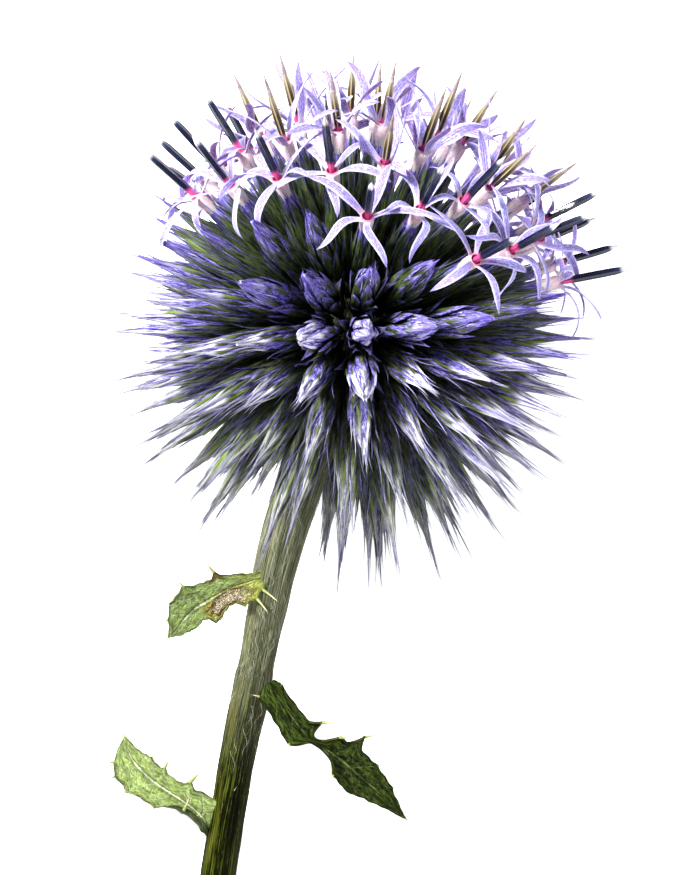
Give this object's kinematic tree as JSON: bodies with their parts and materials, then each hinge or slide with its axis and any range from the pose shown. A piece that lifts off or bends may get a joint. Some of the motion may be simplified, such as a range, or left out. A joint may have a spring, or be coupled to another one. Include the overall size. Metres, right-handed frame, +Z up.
{
  "type": "globe thistle flower head",
  "caption": "Globe thistle flower head on a cut length of stem, laid on its side: a ball of spiky violet-green buds with open lavender florets over its top and small prickly leaves.",
  "frame": {"origin": "on the floor under the middle of the whole flower's box, as it lies", "axes": "+Z up; +Y along the floor the way the head points, so the cut end of the stem is at -Y; +X to the right, seen from above with the head away from the viewer"},
  "size_m": [0.051, 0.0928, 0.053],
  "materials": {
    "stem": "matte",
    "leaf": "satin",
    "bracts": "matte",
    "corolla": "matte",
    "anthers": "satin"
  },
  "bodies": {
    "root": {"stem": "stem", "leaf_upper_left": "leaf", "leaf_right": "leaf", "leaf_lower_left": "leaf", "open_floret_01": "corolla", "open_floret_02": "corolla", "open_floret_03": "corolla", "open_floret_04": "corolla", "open_floret_05": "corolla", "open_floret_06": "corolla", "open_floret_07": "corolla", "open_floret_08": "corolla", "open_floret_09": "corolla", "open_floret_10": "corolla", "open_floret_11": "corolla", "open_floret_12": "corolla", "open_floret_13": "corolla", "open_floret_14": "corolla", "open_floret_15": "corolla", "open_floret_16": "corolla", "open_floret_17": "corolla", "open_floret_18": "corolla", "open_floret_19": "corolla", "open_floret_20": "corolla", "open_floret_21": "corolla", "open_floret_22": "corolla", "open_floret_23": "corolla", "open_floret_24": "corolla", "open_floret_25": "corolla", "open_floret_26": "corolla", "open_floret_27": "corolla", "open_floret_28": "corolla", "open_floret_29": "corolla", "open_floret_30": "corolla", "open_floret_31": "corolla", "open_floret_32": "corolla", "open_floret_33": "corolla", "open_floret_34": "corolla", "open_floret_35": "corolla", "open_floret_36": "corolla", "open_floret_37": "corolla", "open_floret_38": "corolla", "open_floret_39": "corolla", "open_floret_40": "corolla", "open_floret_41": "corolla", "open_floret_42": "corolla", "open_floret_43": "corolla", "open_floret_44": "corolla", "open_floret_45": "corolla", "open_floret_46": "corolla", "open_floret_47": "corolla", "open_floret_48": "corolla", "open_floret_49": "corolla", "open_floret_50": "corolla", "buds_front": "bracts", "buds_front_right": "bracts", "buds_back_right": "bracts", "buds_back": "bracts", "buds_back_left": "bracts", "buds_front_left": "bracts"}
  },
  "joints": []
}
